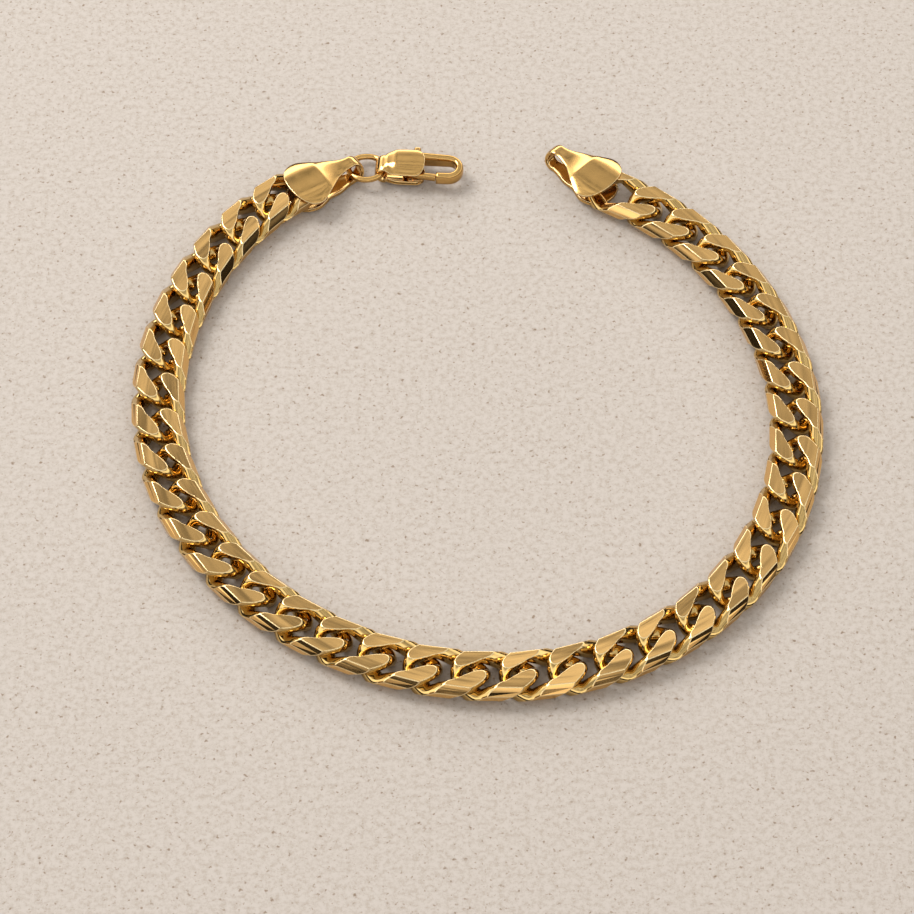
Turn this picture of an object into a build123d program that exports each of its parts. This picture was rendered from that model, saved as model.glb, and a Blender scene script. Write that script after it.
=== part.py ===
from build123d import *
from math import atan2, cos, degrees, radians, tan
import os

# Cuban link bracelet lying open as a horseshoe, in millimetres, with +Z up.
# The chain rests on z = 0 and the origin is below the middle of its plan.
# Travel runs from the clasp end, round the front, to the eye end: a link's
# own +x points along travel and its own +y points to the inside of the loop.
os.makedirs("parts", exist_ok=True)

# Chain
wire_diameter = 1.94
link_clearance = 0.06
link_count = 37
chain_width = 5.9
chain_height = 2.5
bevel_width = 0.65
bevel_height = 0.9

# Least distance between neighbouring wires' centre lines, as a share of pitch
wire_spacing_share = 0.392
link_pitch = (wire_diameter + link_clearance) / wire_spacing_share

# Corners of half of the twisted link's centre line, as shares of pitch
tip_share_x = 0.788
side_share_x = 0.308
tip_share_y = 0.112
side_share_y = 0.450
rise_share = 0.196
lean_share = 0.050
side_bend_share = 0.230
tip_bend_share = 0.267

# Route of the link centres from the clasp end to the eye end, in pitches
chain_route = [
    (-3.79, 7.33), (-6.00, 4.09), (-6.30, 0.11), (-4.52, -3.40), (-1.25, -5.52),
    (2.71, -5.61), (5.92, -3.46), (7.33, 0.18), (6.55, 4.23), (3.86, 7.20),
]

# End tabs: a sheet folded round an eye, its two leaves soldered over an end link
tab_sheet = 0.4
tab_length = 10.5
tab_neck = 1.6
tab_eye_height = 2.4
leaf_start = 1.0
leaf_corner_x = 1.6
leaf_half_width = 3.7
leaf_corner_round = 1.5
leaf_flank_x = 3.8
leaf_flank_y = 2.1
leaf_neck_x = 6.4
leaf_crease_x = 4.6
leaf_rise = 0.3
leaf_flat = 3.4
leaf_slope = 22
leaf_margin = 0.1
clasp_tab_heading = 32
clasp_tab_ahead = -1.0
clasp_tab_aside = -0.65
eye_tab_heading = 138
eye_tab_ahead = 0.75
eye_tab_aside = 0.6

# Jump ring
ring_outer = 4.85
ring_wire = 0.7
ring_height = 1.2
ring_heading = 6
ring_tilt = 8
ring_play = 1.05
ring_side = -0.7

# Lobster clasp: folded body with a hook, and a lever that turns on a pin
clasp_heading = -3
clasp_play = 0.4
clasp_sheet = 0.45
clasp_height = 2.8
clasp_eye_height = 2.3
clasp_neck = 1.0
eye_run = 1.7
shield_length = 3.9
shield_half_width = 1.95
shield_corner = 1.3
shield_flat = 1.8
shield_slope = 20
hook_centre = 8.3
hook_radius = 1.6
hook_height = 1.5
hook_bar = 0.8
hook_skin = 0.3
hook_root = 5.0
pin_radius = 0.35
pin_x = 3.6
pin_y = -0.2
pin_clearance = 0.08
lever_hub_radius = 0.8
gate_root_x = 5.2
lever_clearance = 0.1
nose_radius = 3.6
nub_radius = 0.42
nub_x = 4.35
nub_proud = 0.6

# Fineness of the meshes that the plan is centred by
mesh_tolerance = 0.01


def link_half_wire():
    """Half of the twisted wire loop: from the middle of one side round a tip to the other side."""
    tip_x = tip_share_x * link_pitch
    side_x = side_share_x * link_pitch
    tip_y = tip_share_y * link_pitch
    side_y = side_share_y * link_pitch
    lean = lean_share * link_pitch
    high = rise_share * link_pitch
    corners = [
        (0, -side_y, 0), (side_x, -side_y, high), (tip_x, lean - tip_y, high),
        (tip_x, lean + tip_y, -high), (side_x, side_y, -high), (0, side_y, 0),
    ]
    bend_shares = (side_bend_share, tip_bend_share, tip_bend_share, side_bend_share)
    bends = [share * link_pitch for share in bend_shares]
    with BuildPart() as half:
        with BuildLine() as centre_line:
            FilletPolyline(*corners, radius=bends)
        with BuildSketch(Plane(origin=centre_line.line @ 0, z_dir=centre_line.line % 0)):
            Circle(wire_diameter / 2)
        sweep(path=centre_line.line)
    return half.part


def chain_envelope():
    """Eight-sided bar that the cutting tool leaves: flat faces, sides and bevels."""
    half_y = chain_width / 2
    half_z = chain_height / 2
    half_length = tip_share_x * link_pitch + wire_diameter
    right = [
        (half_y - bevel_width, -half_z), (half_y, -half_z + bevel_height),
        (half_y, half_z - bevel_height), (half_y - bevel_width, half_z),
    ]
    left = [(-y, -z) for y, z in right]
    with BuildPart() as envelope:
        with BuildSketch(Plane.YZ):
            with BuildLine():
                Polyline(*right, *left, close=True)
            make_face()
        extrude(amount=half_length, both=True)
    return envelope.part


def cut_link():
    """One diamond-cut link, resting on z = 0 with its centre over the origin."""
    with BuildPart() as link:
        add(link_half_wire())
        add(chain_envelope(), mode=Mode.INTERSECT)
        add(link.part.rotate(Axis.Y, 180))
    return link.part.moved(Pos(0, 0, chain_height / 2))


def roof_drop(distance, flat, slope):
    """How far a roofed sheet has dropped at a distance from its middle line."""
    return max(distance - flat / 2, 0) * tan(radians(slope))


def loop_body(length, eye_height, height, crease, flat, slope, side, inset):
    """Solid within a folded sheet: inside its outer face, or its inner face where inset is the sheet."""
    eye_x = length - eye_height / 2
    inner_flat = flat / 2 - inset * tan(radians(slope) / 2)
    rim = inset + roof_drop(side, 2 * inner_flat, slope)
    with BuildPart() as body:
        with BuildSketch(Plane.XZ):
            with BuildLine():
                low = Polyline((-inset, height - inset), (-inset, inset), (eye_x, inset))
                bend = TangentArc(low @ 1, (eye_x, eye_height - inset), tangent=(1, 0))
                Polyline(bend @ 1, (crease, height - inset), (-inset, height - inset))
            make_face()
        extrude(amount=side, both=True)
        with BuildSketch(Plane.YZ.offset(-inset)) as roof:
            with BuildLine():
                Polyline((inner_flat, inset), (side, rim), (side, height - rim), (inner_flat, height - inset),
                         (-inner_flat, height - inset), (-side, height - rim), (-side, rim), (-inner_flat, inset),
                         close=True)
            make_face()
        extrude(roof.sketch, amount=length + inset, mode=Mode.INTERSECT)
    return body.part


def folded_sheet(plan, sheet, length, eye_height, height, crease, flat, slope):
    """Sheet folded round an eye at its far end, roofed across its width and cut to a plan."""
    side = plan.bounding_box().max.Y + leaf_margin
    with BuildPart() as folded:
        add(loop_body(length, eye_height, height, crease, flat, slope, side, 0))
        add(loop_body(length, eye_height, height, crease, flat, slope, side, sheet), mode=Mode.SUBTRACT)
        extrude(plan, amount=height, mode=Mode.INTERSECT)
    return folded.part


def tab_sheet_part():
    """Spade-shaped folded tab: +x runs from the end link's centre to the eye."""
    corner_x = leaf_start + leaf_corner_x
    flank_x = leaf_start + leaf_flank_x
    neck_x = leaf_start + leaf_neck_x
    neck_y = tab_neck / 2
    with BuildSketch() as plan:
        with BuildLine():
            ThreePointArc((corner_x, -leaf_half_width), (leaf_start, 0), (corner_x, leaf_half_width))
            ThreePointArc((corner_x, leaf_half_width), (flank_x, leaf_flank_y), (neck_x, neck_y))
            Polyline((neck_x, neck_y), (tab_length, neck_y), (tab_length, -neck_y), (neck_x, -neck_y))
            ThreePointArc((neck_x, -neck_y), (flank_x, -leaf_flank_y), (corner_x, -leaf_half_width))
        make_face()
        corners = plan.vertices().sort_by(Axis.Y)
        fillet([corners[0], corners[-1]], radius=leaf_corner_round)
    return folded_sheet(plan.sketch, tab_sheet, tab_length, tab_eye_height, chain_height + leaf_rise,
                        leaf_start + leaf_crease_x, leaf_flat, leaf_slope)


# Route: a unit spline scaled so that the link centres are one pitch apart
with BuildLine() as unit_route:
    Spline(*chain_route)
route_curve = unit_route.edges()[0]
route_scale = (link_count - 1) * link_pitch / route_curve.length


def link_place(index):
    """Location of a link's frame on the route, counted from the clasp end."""
    share = index / (link_count - 1)
    centre = route_curve.position_at(share) * route_scale
    travel = route_curve.tangent_at(share)
    return Pos(centre.X, centre.Y, 0) * Rot(0, 0, degrees(atan2(travel.Y, travel.X)))


def heading_place(origin, heading):
    """Location at a point of the plan, with +x turned to a heading in degrees."""
    return Pos(origin.X, origin.Y, 0) * Rot(0, 0, heading)


one_link = cut_link()
one_tab = tab_sheet_part()
clasp_end = link_place(0)
eye_end = link_place(link_count - 1)
tab_place = heading_place(clasp_end.position, clasp_tab_heading) * Pos(clasp_tab_ahead, clasp_tab_aside, 0)
eye_place = heading_place(eye_end.position, eye_tab_heading) * Pos(eye_tab_ahead, eye_tab_aside, 0)

pieces = {}
for index in range(1, link_count - 1):
    with BuildPart() as link:
        add(one_link.moved(link_place(index)))
    pieces[f"link_{index:02d}"] = link.part

# Clasp end tab with its end link
with BuildPart() as clasp_tab:
    add(one_link.moved(clasp_end))
    add(one_tab.moved(tab_place))
pieces["clasp_tab"] = clasp_tab.part

# Eye end tab with its end link, which the clasp hooks into
with BuildPart() as eye_tab:
    add(one_link.moved(eye_end))
    add(one_tab.moved(eye_place))
pieces["eye_tab"] = eye_tab.part

# Jump ring through the eyes of the tab and the clasp
ring_radius = (ring_outer - ring_wire) / 2
ring_from_link = tab_length - tab_sheet - ring_play - ring_wire / 2 + ring_radius
ring_centre = (tab_place * Pos(ring_from_link, ring_side, ring_height)).position
with BuildPart() as jump_ring:
    with BuildSketch(Plane.XZ):
        with Locations((ring_radius, 0)):
            Circle(ring_wire / 2)
    revolve(axis=Axis.Z)
pieces["jump_ring"] = jump_ring.part.moved(
    Pos(ring_centre.X, ring_centre.Y, ring_centre.Z) * Rot(0, 0, ring_heading) * Rot(-ring_tilt, 0, 0))

# Clasp frame: +x from the clasp's eye to the tip of its hook
clasp_from_ring = ring_radius - ring_wire / 2 - clasp_play - clasp_sheet
clasp_place = heading_place(ring_centre, clasp_heading) * Pos(clasp_from_ring, 0, 0)
sheet_end = eye_run + shield_length
hook_high = clasp_height - clasp_sheet + hook_skin / 2
hook_low = hook_high - hook_height
hook_inside = hook_radius - hook_bar

# Clasp body: folded sheet with two shield leaves, the pin, and the hook between the leaves
with BuildSketch() as shield_plan:
    with Locations((shield_length / 2, 0)):
        RectangleRounded(shield_length, 2 * shield_half_width, shield_corner)
    with Locations((shield_length + eye_run / 2, 0)):
        Rectangle(eye_run, clasp_neck)
    make_hull()
shield_leaves = folded_sheet(shield_plan.sketch, clasp_sheet, sheet_end, clasp_eye_height, clasp_height,
                             shield_length, shield_flat, shield_slope)
with BuildPart() as clasp_body:
    add(shield_leaves.moved(Pos(sheet_end, 0, 0) * Rot(0, 0, 180)))
    with Locations((pin_x, pin_y, 0)):
        Cylinder(pin_radius, clasp_height, align=(Align.CENTER, Align.CENTER, Align.MIN))
    with BuildSketch(Plane.XY.offset(hook_low)) as hook_plan:
        with BuildLine():
            top_run = Line((hook_root, hook_radius), (hook_centre, hook_radius))
            tip = RadiusArc(top_run @ 1, (hook_centre, -hook_radius), hook_radius)
            Polyline(tip @ 1, (pin_x, -hook_radius), (pin_x, -hook_inside), (hook_centre, -hook_inside))
            inside = RadiusArc((hook_centre, -hook_inside), (hook_centre, hook_inside), -hook_inside)
            Polyline(inside @ 1, (hook_root, hook_inside), (hook_root, hook_radius))
        make_face()
        with Locations((pin_x, pin_y)):
            Circle(nose_radius + lever_clearance, mode=Mode.SUBTRACT)
        with BuildLine():
            Polyline((hook_root, hook_radius), (hook_root, hook_inside), (hook_centre, hook_inside),
                     (hook_centre, hook_radius), close=True)
        make_face()
    extrude(hook_plan.sketch, amount=hook_high - hook_low)
pieces["clasp_body"] = clasp_body.part.moved(clasp_place)

# Clasp lever: hub on the pin, gate up to the hook's end, and thumb nub on the other side
lever_low = clasp_sheet / cos(radians(shield_slope)) + lever_clearance
lever_low += roof_drop(shield_half_width, shield_flat, shield_slope)
lever_high = clasp_height - lever_low
nub_y = shield_half_width + nub_proud
with BuildPart() as clasp_lever:
    with BuildSketch(Plane.XY.offset(lever_low)) as lever_plan:
        with Locations((pin_x, pin_y)):
            Circle(lever_hub_radius)
        with BuildLine():
            Polyline((pin_x, pin_y), (gate_root_x, -hook_inside),
                     (pin_x + nose_radius, -hook_inside), (pin_x + nose_radius, -hook_radius),
                     (pin_x + lever_hub_radius, -hook_radius), (pin_x - lever_hub_radius, pin_y), close=True)
        make_face()
        with BuildLine():
            Polyline((pin_x - lever_hub_radius, pin_y), (pin_x, pin_y), (nub_x + nub_radius, nub_y),
                     (nub_x - nub_radius, nub_y), close=True)
        make_face()
        with Locations((nub_x, nub_y)):
            Circle(nub_radius)
        with Locations((pin_x, pin_y)):
            Circle(nose_radius, mode=Mode.INTERSECT)
            Circle(pin_radius + pin_clearance, mode=Mode.SUBTRACT)
    extrude(lever_plan.sketch, amount=lever_high - lever_low)
pieces["clasp_lever"] = clasp_lever.part.moved(clasp_place)

# The plan is centred on the origin by the solids' meshes, whose extents are truer than their boxes
surface_points = []
for solid in pieces.values():
    surface_points += solid.tessellate(mesh_tolerance)[0]
plan_x = [point.X for point in surface_points]
plan_y = [point.Y for point in surface_points]
middle_x = (min(plan_x) + max(plan_x)) / 2
middle_y = (min(plan_y) + max(plan_y)) / 2
to_origin = Pos(-middle_x, -middle_y, 0)
for name, solid in pieces.items():
    piece = solid.moved(to_origin)
    piece.label = name
    export_step(piece, f"parts/{name}.step")
pin_axis = (to_origin * clasp_place * Pos(pin_x, pin_y, 0)).position
print("lever pin axis", round(pin_axis.X, 3), round(pin_axis.Y, 3))
print("route centre shift", round(to_origin.position.X, 3), round(to_origin.position.Y, 3))
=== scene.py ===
import bmesh
import bpy
import math
import random
import numpy as np
from mathutils import Matrix, Vector


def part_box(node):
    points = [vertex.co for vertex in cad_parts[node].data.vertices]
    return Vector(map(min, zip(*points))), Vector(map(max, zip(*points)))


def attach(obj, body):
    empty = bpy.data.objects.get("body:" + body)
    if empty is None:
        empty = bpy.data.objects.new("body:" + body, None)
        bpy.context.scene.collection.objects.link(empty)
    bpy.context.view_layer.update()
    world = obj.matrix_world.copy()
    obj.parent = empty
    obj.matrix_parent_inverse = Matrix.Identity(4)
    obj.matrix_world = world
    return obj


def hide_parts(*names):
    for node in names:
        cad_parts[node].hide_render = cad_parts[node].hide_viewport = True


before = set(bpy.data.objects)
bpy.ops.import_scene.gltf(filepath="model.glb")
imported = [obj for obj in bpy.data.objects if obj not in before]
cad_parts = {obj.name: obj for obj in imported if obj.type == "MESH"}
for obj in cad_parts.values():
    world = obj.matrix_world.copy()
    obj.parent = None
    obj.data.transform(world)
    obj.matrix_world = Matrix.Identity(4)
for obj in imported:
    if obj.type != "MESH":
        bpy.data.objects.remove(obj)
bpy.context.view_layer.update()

bpy.context.scene.view_settings.view_transform = "Standard"

# Sizes in millimetres, as in the CAD source; meshes are made in metres
MM = 0.001
wire_diameter = 1.94
link_pitch = 5.102
chain_width = 5.9
chain_height = 2.5
bevel_width = 0.65
bevel_height = 0.9
link_count = 37

# Centre line of the twisted link, as shares of pitch
plateau_tip_x = 0.788
plateau_side_x = 0.308
plateau_tip_y = 0.112
plateau_side_y = 0.450
plateau_z = 0.196
tip_lean = 0.050
side_bend = 0.230
tip_bend = 0.267

# Waist of the wire where it dives from one side to the other
tip_sink = 0.3
neck_share = 0.3
neck_reach = 1.3

# Finish of the cut edges; angles in degrees
edge_round = 0.06
edge_segments = 2
edge_angle = 24
merge_share = 0.6
cut_tolerance = 1e-6
ring_spacing = 0.26
flat_share = 0.002
wire_sides = 36

# Places of the end links, the tabs and the clasp: x, y and heading in degrees
end_links = ((-21.6392, 31.5546, -140.658), (17.3096, 30.8927, 149.258))
clasp_tab_place = (-22.1428, 30.4735, 32)
eye_tab_place = (16.3508, 30.9487, 138)
clasp_place = (-11.66, 35.54, -3)

# How far the middle of a link's surface lies to the inside, and the largest tilts of a link in degrees
link_centroid_y = 0.06917
link_lean = 1.5
link_nod = 0.6
tilt_seed = 7

# Folded sheets: from the free end of the leaf at start, over the shoulder, to the eye at length
tab_form = {
    "start": 0.95, "shoulder": 3.7, "taper": 3.7, "widest": 3.5, "neck": 0.8, "neck_x": 9.0, "fall": 1.5,
    "blunt": 2.4, "length": 10.5, "eye": 2.4, "height": 2.9, "crease": 5.2, "ramp": 3.6, "flat": 1.9,
    "slope": 0.24, "soft": 0.6, "shift": 0.0, "below": 0.8, "sheet": 0.4,
}
shield_form = {
    "start": -0.2, "shoulder": 1.0, "taper": 3.3, "widest": 1.85, "neck": 0.6, "neck_x": 5.5, "fall": 1.0,
    "blunt": 2.4, "length": 5.6, "eye": 2.4, "height": 2.78, "crease": 3.2, "ramp": 2.4, "flat": 1.3,
    "slope": 0.36, "soft": 0.2, "shift": -0.8, "below": 1.0, "sheet": 0.42,
}
taper_soft = 0.2
corner_share = 0.3
strap_sway = 0.35
strap_roll = 0.1
sway_run = 2
grid_step = 0.16
cross_steps = 12
fold_steps = 16
rim_round = 0.06
rim_segments = 3
rim_angle = 50

# Jump ring: its rounding, and how its flat CAD faces are joined up
ring_round = 0.02
ring_weld = 1e-7
ring_flat_angle = 1.0

# Hook of the clasp, and its pin, in the clasp's frame
hook_centre = 8.5
hook_line = 1.35
hook_side = -0.1
hook_start = 4.3
hook_end = 7.16
hook_half_width = 0.45
hook_top = 2.3
hook_root_top = 2.66
hook_low = 0.8
hook_run_steps = 14
hook_turn_steps = 24
hook_end_steps = 4
hook_fade_steps = 20
hook_sides = 28
pin_x = 3.6
pin_y = -0.2
pin_radius = 0.35
pin_length = 2.0
pin_middle = 1.4
pin_sides = 24
bar_squareness = 3.2

# Lever on the pin, with its gate and thumb nub, in the clasp's frame
gate_line = -1.24
gate_rise = 0.4
gate_gap = 0.05
gate_half_width = 0.34
lever_low = 0.97
lever_top = 1.83
lever_round = 0.04
lever_steps = 8
lever_sides = 24
hub_radius = 0.78
hub_sides = 32
nub_line = 4.8
nub_start = 1.6
nub_overlap = 0.2
nub_reach = 3.0
nub_half_width = 0.42

# Camera, fitted to the photograph
camera_elevation = 52.5
camera_distance = 416.9
camera_focal_px = 3800
image_px = 914
sensor_width = 36
near_clip = 0.01
look_at = (-2.14, -5.45, -0.35)

# Depth of the waves and of the cutter's lines in the metal, in metres, and how far its polish varies
wave_depth = 0.00008
line_depth = 0.00001
grain_span = (0.3, 0.7)
polish_span = (0.75, 1.3)

# Stone: its darker and paler tone, and the tone of its specks
stone_dark = (0.325, 0.272, 0.222)
stone_pale = (0.460, 0.418, 0.382)
stone_speck = (0.52, 0.42, 0.33)
stone_roughness = 0.75
floor_reach = 1.5

# Softboxes: place and size in metres, power in watts and colour; both face one point
light_target = (0, 0, 0)
key_light = ((-0.62, 0.48, 0.86), (0.50, 0.50), 9.4, (1.0, 0.98, 0.95))
rear_light = ((0.00, 0.75, 0.30), (1.10, 0.24), 2.2, (1.0, 0.98, 0.96))

# Room: its colour low and high, its horizon, and the strength of the walls and of the ceiling's ripples
room_low = (0.16, 0.14, 0.12)
room_high = (0.85, 0.83, 0.80)
horizon_waver = 0.4
horizon_band = (0.46, 0.54)
wall_strength = (0.15, 4.6)
ripple_band = (0.40, 0.60)
ceiling_strength = (0.38, 1.55)
ceiling_rise = (0.42, 0.65)


def filleted_path(corners, radii, spacing):
    """Points along straight runs joined by tangent arcs at the inner corners."""
    points = [Vector(c) for c in corners]
    path = [points[0]]
    for before, corner, after, radius in zip(points, points[1:], points[2:], radii):
        arrive = (corner - before).normalized()
        leave = (after - corner).normalized()
        turn = arrive.angle(leave)
        reach = radius * math.tan(turn / 2)
        start = corner - arrive * reach
        inward = (leave - arrive * leave.dot(arrive)).normalized()
        centre = start + inward * radius
        steps = max(3, round(radius * turn / spacing))
        add_run(path, start, spacing)
        for k in range(1, steps + 1):
            a = turn * k / steps
            path.append(centre - inward * radius * math.cos(a) + arrive * radius * math.sin(a))
    add_run(path, points[-1], spacing)
    return path


def add_run(path, end, spacing):
    """Adds evenly spaced points from the path's last one to an end point."""
    start = path[-1]
    steps = max(1, round((end - start).length / spacing))
    for k in range(1, steps + 1):
        path.append(start.lerp(end, k / steps))


def tube(bm, path, radii, sides):
    """Closed tube of quads along a closed path."""
    count = len(path)
    rings = []
    for i, centre in enumerate(path):
        along = (path[(i + 1) % count] - path[i - 1]).normalized()
        across = along.cross(Vector((0, 0, 1))).normalized()
        up = across.cross(along)
        ring = []
        for k in range(sides):
            a = 2 * math.pi * k / sides
            ring.append(bm.verts.new(centre + (across * math.cos(a) + up * math.sin(a)) * radii[i]))
        rings.append(ring)
    for i in range(count):
        near, far = rings[i], rings[(i + 1) % count]
        for k in range(sides):
            n = (k + 1) % sides
            bm.faces.new((near[k], near[n], far[n], far[k]))
    bmesh.ops.recalc_face_normals(bm, faces=bm.faces)


def cut_away(bm, point, normal):
    """Cuts off what lies beyond a plane and closes the holes with flat faces."""
    geometry = bm.verts[:] + bm.edges[:] + bm.faces[:]
    cut = bmesh.ops.bisect_plane(bm, geom=geometry, dist=cut_tolerance, plane_co=point,
                                 plane_no=normal, clear_outer=True)
    edges = [g for g in cut["geom_cut"] if isinstance(g, bmesh.types.BMEdge) and g.is_boundary]
    for face in bmesh.ops.holes_fill(bm, edges=edges, sides=0)["faces"]:
        face.material_index = 1


def soften_edges(bm, angle, width, segments):
    """Rounds every edge that is sharper than an angle."""
    sharp = [e for e in bm.edges if len(e.link_faces) == 2 and e.calc_face_angle(0) > math.radians(angle)]
    # The rounded faces take the third material, the gold lightened as a painted highlight on the edges
    bmesh.ops.bevel(bm, geom=sharp, offset=width, segments=segments, profile=0.5, affect="EDGES",
                    clamp_overlap=False, material=2)


def finished_mesh(bm, name, materials, scale):
    """Mesh data in metres from a bmesh: curved faces shade smoothly, and large flat ones stay flat."""
    bmesh.ops.scale(bm, vec=(scale,) * 3, verts=bm.verts)
    largest = max(f.calc_area() for f in bm.faces)
    for face in bm.faces:
        face.smooth = len(face.verts) <= 4 or face.calc_area() < largest * flat_share
    data = bpy.data.meshes.new(name)
    bm.to_mesh(data)
    bm.free()
    for material in materials:
        data.materials.append(material)
    return data


def link_mesh(materials):
    """One diamond-cut link about its centre, +x along travel and +y to the inside."""
    tip_x = plateau_tip_x * link_pitch
    side_x = plateau_side_x * link_pitch
    tip_y = plateau_tip_y * link_pitch
    side_y = plateau_side_y * link_pitch
    lean = tip_lean * link_pitch
    high = plateau_z * link_pitch
    nose = high * (1 - tip_sink)
    corners = [(0, -side_y, 0), (side_x, -side_y, high), (tip_x, lean - tip_y, nose),
               (tip_x, lean + tip_y, -nose), (side_x, side_y, -high), (0, side_y, 0)]
    bends = [share * link_pitch for share in (side_bend, tip_bend, tip_bend, side_bend)]
    half = filleted_path(corners, bends, ring_spacing)
    path = half[:-1] + [Vector((-p.x, p.y, -p.z)) for p in reversed(half)][:-1]
    radii = []
    for p in path:
        mirrored = Vector((abs(p.x), p.y, math.copysign(p.z, p.x * p.z) if p.x else 0))
        away = (mirrored - Vector((tip_x, lean, 0))).length
        waist = neck_share * math.exp(-(away / neck_reach) ** 2)
        radii.append(wire_diameter / 2 * (1 - waist))
    bm = bmesh.new()
    tube(bm, path, radii, wire_sides)
    half_y, half_z = chain_width / 2, chain_height / 2
    slant = Vector((0, bevel_height, bevel_width)).normalized()
    for side in (1, -1):
        cut_away(bm, (0, 0, side * half_z), (0, 0, side))
        cut_away(bm, (0, side * half_y, 0), (0, side, 0))
        for level in (1, -1):
            edge = (0, side * half_y, level * (half_z - bevel_height))
            cut_away(bm, edge, (0, side * slant.y, level * slant.z))
    bmesh.ops.remove_doubles(bm, verts=bm.verts, dist=edge_round * merge_share)
    soften_edges(bm, edge_angle, edge_round, edge_segments)
    for vert in bm.verts:
        vert.co.y = min(max(vert.co.y, -half_y), half_y)
        vert.co.z = min(max(vert.co.z, -half_z), half_z)
    bmesh.ops.translate(bm, vec=(0, 0, half_z), verts=bm.verts)
    return finished_mesh(bm, "link", materials, MM)


def smooth_step(value):
    """Smooth rise from 0 to 1 while the value goes from 0 to 1."""
    value = min(max(value, 0), 1)
    return value * value * (3 - 2 * value)


def half_width(form, x):
    """Half the width of a leaf or its strap at a distance along the sheet."""
    front = min(max((form["shoulder"] - x) / (form["shoulder"] - form["start"]), 0), 1)
    end = (1 - front ** form["blunt"]) ** (1 / form["blunt"])
    past = x - form["taper"]
    past = (past + math.sqrt(past * past + taper_soft)) / 2
    fade = 1 - min(past / (form["neck_x"] - form["taper"]), 1)
    return end * (form["neck"] + (form["widest"] - form["neck"]) * fade ** form["fall"])


def leaf_rows(form, values):
    """Rows of plan points of one leaf and its strap, from the rounded free end to the eye."""
    start, shoulder, blunt = form["start"], form["shoulder"], form["blunt"]
    reach = shoulder - start
    widest = half_width(form, shoulder)
    corner = half_width(form, start + corner_share * reach)
    eye_x = form["length"] - form["eye"] / 2
    rows = []
    steps = round(reach / grid_step)
    for i in range(steps):
        share = i / steps
        ends = []
        for v in values:
            across = abs(v) * corner / widest
            edge = start + reach * (1 - (1 - across ** blunt) ** (1 / blunt))
            ends.append(edge + (shoulder - edge) * share)
        width = half_width(form, ends[0])
        rows.append([(x, v * width) for x, v in zip(ends, values)])
    steps = round((eye_x - shoulder) / grid_step)
    for i in range(steps):
        x = shoulder + (eye_x - shoulder) * i / steps
        rows.append([(x, v * half_width(form, x)) for v in values])
    return rows


def folded_sheet_mesh(form, sway):
    """Sheet folded round an eye: a domed leaf, its strap, the eye, and the same again below."""
    values = [2 * k / cross_steps - 1 for k in range(cross_steps + 1)]
    flat = leaf_rows(form, values)
    eye_radius = form["eye"] / 2
    eye_x = form["length"] - eye_radius
    eye_half = half_width(form, eye_x)
    upper, lower = [], []
    for row in flat:
        high, low = [], []
        for (x, y), v in zip(row, values):
            lean = sway * smooth_step((x - form["crease"]) / sway_run)
            fold = 1 - (1 - min(max((x - form["crease"]) / form["ramp"], 0), 1)) ** 2
            beyond = abs(y - form["shift"]) - form["flat"]
            drop = form["slope"] * (beyond + math.hypot(beyond, form["soft"])) / 2 + strap_roll * v ** 4
            high.append((x, y + lean, form["height"] - (form["height"] - form["eye"]) * fold - drop))
            narrow = 1 - (1 - form["below"]) * (1 - fold)
            low.append((x, y * narrow - lean, drop))
        upper.append(high)
        lower.append(low)
    turn = []
    for k in range(fold_steps + 1):
        a = math.pi / 2 - math.pi * k / fold_steps
        row = []
        for v in values:
            r = eye_radius - strap_roll * v ** 4
            y = v * eye_half + sway * math.sin(a)
            row.append((eye_x + r * math.cos(a), y, eye_radius + r * math.sin(a)))
        turn.append(row)
    outer = np.array(upper + turn + lower[::-1])
    normal = np.cross(np.gradient(outer, axis=0), np.gradient(outer, axis=1))
    normal /= np.linalg.norm(normal, axis=2)[:, :, None]
    inner = outer - normal * form["sheet"]
    bm = bmesh.new()
    skins = [[[bm.verts.new(p) for p in row] for row in skin] for skin in (outer, inner)]
    rows, columns = outer.shape[0], outer.shape[1]
    for skin in skins:
        for i in range(rows - 1):
            for j in range(columns - 1):
                bm.faces.new((skin[i][j], skin[i + 1][j], skin[i + 1][j + 1], skin[i][j + 1]))
    out, under = skins
    for i in range(rows - 1):
        for j in (0, columns - 1):
            bm.faces.new((out[i][j], out[i + 1][j], under[i + 1][j], under[i][j]))
    for j in range(columns - 1):
        for i in (0, rows - 1):
            bm.faces.new((out[i][j], out[i][j + 1], under[i][j + 1], under[i][j]))
    bmesh.ops.recalc_face_normals(bm, faces=bm.faces)
    soften_edges(bm, rim_angle, rim_round, rim_segments)
    return bm


def swept_bar(bm, path, half_widths, tops, lows, sides):
    """Bar with a rounded rectangular section along a plan path, with a top and a bottom at each point."""
    rings = []
    for i, (x, y) in enumerate(path):
        before, after = path[max(i - 1, 0)], path[min(i + 1, len(path) - 1)]
        along = Vector((after[0] - before[0], after[1] - before[1], 0)).normalized()
        across = along.cross(Vector((0, 0, 1)))
        ring = []
        for k in range(sides):
            a = 2 * math.pi * k / sides
            c, s = math.cos(a), math.sin(a)
            spread = (abs(c) ** bar_squareness + abs(s) ** bar_squareness) ** (-1 / bar_squareness)
            level = (tops[i] + lows[i]) / 2 + (tops[i] - lows[i]) / 2 * s * spread
            ring.append(bm.verts.new(Vector((x, y, level)) + across * half_widths[i] * c * spread))
        rings.append(ring)
    faces = []
    for near, far in zip(rings, rings[1:]):
        for k in range(sides):
            n = (k + 1) % sides
            faces.append(bm.faces.new((near[k], near[n], far[n], far[k])))
    faces.append(bm.faces.new(rings[0][::-1]))
    faces.append(bm.faces.new(rings[-1]))
    bmesh.ops.recalc_face_normals(bm, faces=faces)


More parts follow.
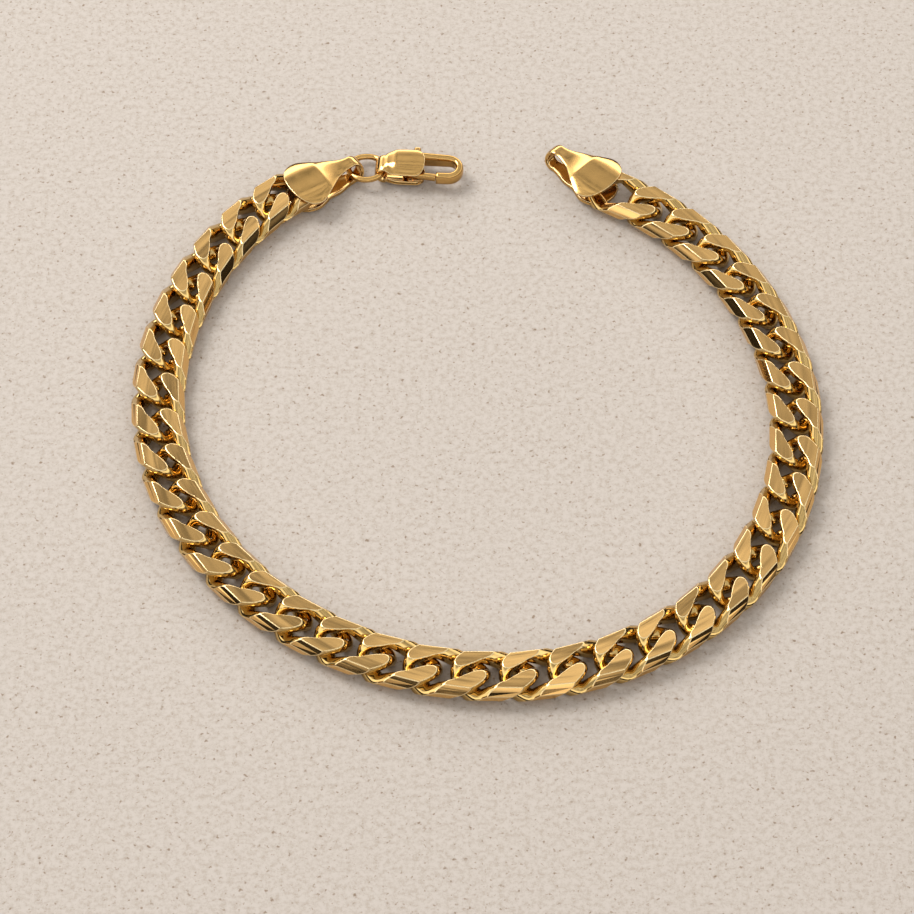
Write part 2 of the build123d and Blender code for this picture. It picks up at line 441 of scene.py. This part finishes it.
def clasp_mesh(name, materials):
    """Clasp body: folded shield, hook between its leaves, and pin."""
    bm = folded_sheet_mesh(shield_form, 0)
    half_turn = Matrix.Rotation(math.pi, 3, "Z")
    bmesh.ops.rotate(bm, verts=bm.verts, cent=(0, 0, 0), matrix=half_turn)
    bmesh.ops.translate(bm, verts=bm.verts, vec=(shield_form["length"], 0, 0))
    path = []
    for k in range(hook_run_steps):
        x = hook_start + (hook_centre - hook_start) * k / hook_run_steps
        path.append((x, hook_side + hook_line))
    for k in range(hook_turn_steps + 1):
        a = math.pi / 2 - math.pi * k / hook_turn_steps
        path.append((hook_centre + hook_line * math.cos(a), hook_side + hook_line * math.sin(a)))
    for k in range(1, hook_end_steps + 1):
        x = hook_centre + (hook_end - hook_centre) * k / hook_end_steps
        path.append((x, hook_side - hook_line))
    count = len(path)
    fades = [smooth_step(i / hook_fade_steps) for i in range(count)]
    tops = [hook_root_top + (hook_top - hook_root_top) * fade for fade in fades]
    swept_bar(bm, path, [hook_half_width] * count, tops, [hook_low] * count, hook_sides)
    bmesh.ops.create_cone(bm, cap_ends=True, segments=pin_sides, radius1=pin_radius, radius2=pin_radius,
                          depth=pin_length, matrix=Matrix.Translation((pin_x, pin_y, pin_middle)))
    return finished_mesh(bm, name, materials, MM)


def lever_mesh(name, materials):
    """Lever: hub on the pin, gate up to the hook's end, and an arm with the thumb nub."""
    bm = bmesh.new()
    middle = (lever_low + lever_top) / 2
    bmesh.ops.create_cone(bm, cap_ends=True, segments=hub_sides, radius1=hub_radius, radius2=hub_radius,
                          depth=lever_top - lever_low, matrix=Matrix.Translation((pin_x, pin_y, middle)))
    runs = (
        ((pin_x, gate_line + gate_rise), (hook_end - gate_gap, gate_line), gate_half_width),
        ((pin_x, pin_y), (nub_line, nub_start), nub_half_width),
        ((nub_line, nub_start - nub_overlap), (nub_line, nub_reach), nub_half_width),
    )
    count = lever_steps + 1
    shares = [k / lever_steps for k in range(count)]
    for start, end, width in runs:
        path = [(start[0] + (end[0] - start[0]) * s, start[1] + (end[1] - start[1]) * s) for s in shares]
        swept_bar(bm, path, [width] * count, [lever_top] * count, [lever_low] * count, lever_sides)
    soften_edges(bm, rim_angle, lever_round, edge_segments)
    return finished_mesh(bm, name, materials, MM)


def plan_matrix(place):
    """Matrix of a place given as x, y in millimetres and a heading in degrees."""
    x, y, heading = place
    return Matrix.Translation((x * MM, y * MM, 0)) @ Matrix.Rotation(math.radians(heading), 4, "Z")


def copied_mesh(node, materials, width):
    """A CAD node's mesh with its flat faces joined up and its sharp edges rounded."""
    bm = bmesh.new()
    bm.from_mesh(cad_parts[node].data)
    bmesh.ops.remove_doubles(bm, verts=bm.verts, dist=ring_weld)
    bmesh.ops.dissolve_limit(bm, angle_limit=math.radians(ring_flat_angle), verts=bm.verts, edges=bm.edges)
    soften_edges(bm, edge_angle, width * MM, edge_segments)
    return finished_mesh(bm, node + "_skin", materials, 1.0)


def plan_frame(node, centroid_y, toward):
    """Place of a link from its CAD mesh: the plan's main axes of the surface, with +x turned to a point."""
    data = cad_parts[node].data
    data.calc_loop_triangles()
    verts = np.empty(len(data.vertices) * 3)
    data.vertices.foreach_get("co", verts)
    index = np.empty(len(data.loop_triangles) * 3, int)
    data.loop_triangles.foreach_get("vertices", index)
    corner = verts.reshape(-1, 3)[index].reshape(-1, 3, 3)
    area = np.linalg.norm(np.cross(corner[:, 1] - corner[:, 0], corner[:, 2] - corner[:, 0]), axis=1) / 2
    total = area.sum()
    centroid = (corner.mean(1) * area[:, None]).sum(0) / total
    flat = corner[:, :, :2] - centroid[:2]
    spread = np.zeros((2, 2))
    for k in range(3):
        spread += np.einsum("t,ti,tj->ij", area, flat[:, k], flat[:, k])
    middle = flat.sum(1)
    spread += np.einsum("t,ti,tj->ij", area, middle, middle)
    along = np.linalg.eigh(spread)[1][:, 1]
    if along.dot(np.array(toward) - centroid[:2]) < 0:
        along = -along
    heading = math.atan2(along[1], along[0])
    shift = Vector((-math.sin(heading), math.cos(heading), 0)) * centroid_y
    origin = Vector((centroid[0], centroid[1], 0)) - shift
    return Matrix.Translation(origin) @ Matrix.Rotation(heading, 4, "Z")


def noise(tree, where, scale, detail, roughness=0.5):
    """Noise over a coordinate."""
    node = tree.nodes.new("ShaderNodeTexNoise")
    node.inputs["Scale"].default_value = scale
    node.inputs["Detail"].default_value = detail
    node.inputs["Roughness"].default_value = roughness
    tree.links.new(where, node.inputs["Vector"])
    return node.outputs["Fac"]


def map_range(tree, value, start, end):
    """A value with one range turned into another."""
    node = tree.nodes.new("ShaderNodeMapRange")
    node.inputs["From Min"].default_value, node.inputs["From Max"].default_value = start
    node.inputs["To Min"].default_value, node.inputs["To Max"].default_value = end
    tree.links.new(value, node.inputs["Value"])
    return node.outputs["Result"]


def color_ramp(tree, value, *stops):
    """Colour between two stops, each a place on the scale and a colour."""
    node = tree.nodes.new("ShaderNodeValToRGB")
    for element, (place, color) in zip(node.color_ramp.elements, stops):
        element.position = place
        element.color = (*color, 1)
    tree.links.new(value, node.inputs["Fac"])
    return node.outputs["Color"]


def new_material(name):
    """Material with its node tree and its shader."""
    material = bpy.data.materials.new(name)
    material.use_nodes = True
    return material, material.node_tree, material.node_tree.nodes["Principled BSDF"]


def gold(name, color, roughness, lines, line_scale, waves, wave_scale):
    """Polished yellow gold with fine cutter's lines and slow waves in its surface."""
    material, tree, shader = new_material(name)
    shader.inputs["Metallic"].default_value = 1
    shader.inputs["Base Color"].default_value = (*color, 1)
    where = tree.nodes.new("ShaderNodeTexCoord").outputs["Object"]
    normal = None
    for strength, scale, depth in ((waves, wave_scale, wave_depth), (lines, line_scale, line_depth)):
        stretch = tree.nodes.new("ShaderNodeMapping")
        stretch.inputs["Scale"].default_value = scale
        tree.links.new(where, stretch.inputs["Vector"])
        grain = noise(tree, stretch.outputs["Vector"], scale=1, detail=2)
        relief = tree.nodes.new("ShaderNodeBump")
        relief.inputs["Strength"].default_value = strength
        relief.inputs["Distance"].default_value = depth
        tree.links.new(grain, relief.inputs["Height"])
        if normal is not None:
            tree.links.new(normal, relief.inputs["Normal"])
        normal = relief.outputs["Normal"]
    polish = map_range(tree, grain, grain_span, [roughness * share for share in polish_span])
    tree.links.new(polish, shader.inputs["Roughness"])
    tree.links.new(normal, shader.inputs["Normal"])
    return material


def color_socket(sockets, name):
    """Colour socket of that name, where a node has sockets of several types under one name."""
    return next(s for s in sockets if s.name == name and s.type == "RGBA")


def stone():
    """Pale beige stone with soft mottling and fine darker specks."""
    material, tree, shader = new_material("pale_stone")
    shader.inputs["Roughness"].default_value = stone_roughness
    where = tree.nodes.new("ShaderNodeTexCoord").outputs["Object"]
    cloud = noise(tree, where, scale=1500, detail=8, roughness=0.8)
    mottle = color_ramp(tree, cloud, (0.3, stone_dark), (0.55, stone_pale))
    grit = noise(tree, where, scale=1900, detail=2)
    specks = color_ramp(tree, grit, (0.26, stone_speck), (0.37, (1, 1, 1)))
    blend = tree.nodes.new("ShaderNodeMix")
    blend.data_type = "RGBA"
    blend.blend_type = "MULTIPLY"
    blend.inputs["Factor"].default_value = 1
    tree.links.new(mottle, color_socket(blend.inputs, "A"))
    tree.links.new(specks, color_socket(blend.inputs, "B"))
    tree.links.new(color_socket(blend.outputs, "Result"), shader.inputs["Base Color"])
    return material


def add_piece(name, data, matrix, body, nodes):
    """Puts a mesh in the scene, riding on a body, in place of the nodes that it stands for."""
    piece = bpy.data.objects.new(name, data)
    bpy.context.scene.collection.objects.link(piece)
    piece.matrix_world = matrix
    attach(piece, body)
    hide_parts(*nodes)


def softbox(name, place, size, power, color):
    """Rectangular area light that faces the middle of the bracelet."""
    lamp = bpy.data.lights.new(name, "AREA")
    lamp.shape = "RECTANGLE"
    lamp.size, lamp.size_y = size
    lamp.energy = power
    lamp.color = color
    holder = bpy.data.objects.new(name, lamp)
    bpy.context.scene.collection.objects.link(holder)
    holder.location = place
    holder.rotation_euler = (Vector(light_target) - Vector(place)).to_track_quat("-Z", "Y").to_euler()


def studio_world():
    """Room that is dark below a wavering horizon, bright above it and softly rippled overhead."""
    world = bpy.data.worlds.new("studio")
    bpy.context.scene.world = world
    world.use_nodes = True
    tree = world.node_tree
    where = tree.nodes.new("ShaderNodeTexCoord").outputs["Generated"]
    part = tree.nodes.new("ShaderNodeSeparateXYZ")
    tree.links.new(where, part.inputs["Vector"])
    height = part.outputs["Z"]
    color = color_ramp(tree, height, (0.05, room_low), (0.9, room_high))
    horizon = tree.nodes.new("ShaderNodeMath")
    horizon.operation = "MULTIPLY_ADD"
    amount, factor, base = horizon.inputs
    factor.default_value = horizon_waver
    tree.links.new(noise(tree, where, scale=3, detail=1), amount)
    tree.links.new(height, base)
    walls = map_range(tree, horizon.outputs["Value"], horizon_band, wall_strength)
    ripples = noise(tree, where, scale=14, detail=1)
    ceiling = map_range(tree, ripples, ripple_band, ceiling_strength)
    room = tree.nodes.new("ShaderNodeMix")
    tree.links.new(map_range(tree, height, ceiling_rise, (0, 1)), room.inputs["Factor"])
    tree.links.new(walls, room.inputs["A"])
    tree.links.new(ceiling, room.inputs["B"])
    background = tree.nodes["Background"]
    tree.links.new(color, background.inputs["Color"])
    tree.links.new(room.outputs["Result"], background.inputs["Strength"])


def photo_camera():
    """Camera at the photograph's angle above the floor."""
    lens = bpy.data.cameras.new("camera")
    lens.sensor_width = sensor_width
    lens.lens = camera_focal_px / image_px * sensor_width
    lens.clip_start = near_clip
    camera = bpy.data.objects.new("camera", lens)
    bpy.context.scene.collection.objects.link(camera)
    tilt = math.radians(camera_elevation)
    back = Vector((0, -math.cos(tilt), math.sin(tilt))) * camera_distance
    camera.location = (Vector(look_at) + back) * MM
    camera.rotation_euler = (math.pi / 2 - tilt, 0, 0)
    return camera


# Golds of the wire, of the cut faces, of the rims and of the folded sheets. The wire's gold is darker than
# the cut faces' gold as painted shade of the recesses between links. The rims' gold is lighter as a painted
# highlight on the rounded edges
# Darker base colour of the curved wire: painted shade standing for the shade in the chain's recesses
wire_gold_painted_shade = gold("wire_gold_painted_shade", (0.60, 0.415, 0.16), roughness=0.08, lines=0.05,
                 line_scale=(400, 400, 400), waves=0.04, wave_scale=(300, 300, 300))
facet_gold = gold("facet_gold", (0.74, 0.460, 0.170), roughness=0.10, lines=0.12,
                  line_scale=(150, 3000, 3000), waves=0.9, wave_scale=(70, 380, 380))
# Lighter base colour of the rounded edges: a painted highlight that makes the bright rims
rim_gold_painted_highlight = gold("rim_gold_painted_highlight", (0.86, 0.66, 0.35), roughness=0.25, lines=0.1,
                line_scale=(400, 400, 400), waves=0.08, wave_scale=(300, 300, 300))
sheet_gold = gold("sheet_gold", (0.585, 0.358, 0.122), roughness=0.14, lines=0.1,
                  line_scale=(700, 700, 700), waves=0.4, wave_scale=(180, 180, 180))
link_golds = (wire_gold_painted_shade, facet_gold, rim_gold_painted_highlight)
sheet_golds = (sheet_gold, sheet_gold, rim_gold_painted_highlight)

# Links: one mesh, placed where each CAD link is, with a slight tilt of its own
link_data = link_mesh(link_golds)
chance = random.Random(tilt_seed)
names = [f"link_{i:02d}" for i in range(1, link_count - 1)]
middles = {n: (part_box(n)[0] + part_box(n)[1]) / 2 for n in names}
half_height = Matrix.Translation((0, 0, chain_height / 2 * MM))
for i, name in enumerate(names):
    if i + 1 < len(names):
        toward = middles[names[i + 1]]
    else:
        toward = middles[name] * 2 - middles[names[i - 1]]
    place = plan_frame(name, link_centroid_y * MM, toward[:2])
    lean = Matrix.Rotation(math.radians(chance.uniform(-link_lean, link_lean)), 4, "X")
    nod = Matrix.Rotation(math.radians(chance.uniform(-link_nod, link_nod)), 4, "Y")
    tilted = place @ half_height @ lean @ nod @ half_height.inverted()
    lowest = min((tilted @ v.co).z for v in link_data.vertices)
    tilted = Matrix.Translation((0, 0, -lowest)) @ tilted
    add_piece(name + "_cut", link_data, tilted, "bracelet", [name])

# Tabs, each with its end link
for node, place, end_place, sway in (
    ("clasp_tab", clasp_tab_place, end_links[0], strap_sway),
    ("eye_tab", eye_tab_place, end_links[1], -strap_sway),
):
    sheet = finished_mesh(folded_sheet_mesh(tab_form, sway), node + "_sheet", sheet_golds, MM)
    add_piece(node + "_sheet", sheet, plan_matrix(place), "bracelet", [node])
    add_piece(node + "_link", link_data, plan_matrix(end_place), "bracelet", [node])

# Jump ring, clasp body and lever
add_piece("jump_ring_polished", copied_mesh("jump_ring", sheet_golds, ring_round),
          Matrix.Identity(4), "bracelet", ["jump_ring"])
add_piece("clasp_shield", clasp_mesh("clasp_shield", sheet_golds), plan_matrix(clasp_place),
          "bracelet", ["clasp_body"])
add_piece("clasp_gate", lever_mesh("clasp_gate", sheet_golds), plan_matrix(clasp_place),
          "lever", ["clasp_lever"])

# Floor
floor_data = bpy.data.meshes.new("stone_slab")
corners = [(-floor_reach, -floor_reach, 0), (floor_reach, -floor_reach, 0),
           (floor_reach, floor_reach, 0), (-floor_reach, floor_reach, 0)]
floor_data.from_pydata(corners, [], [(0, 1, 2, 3)])
floor_data.materials.append(stone())
floor = bpy.data.objects.new("stone_slab", floor_data)
bpy.context.scene.collection.objects.link(floor)

# Light, room and camera
softbox("key", *key_light)
softbox("rear", *rear_light)
studio_world()
bpy.context.scene.camera = photo_camera()
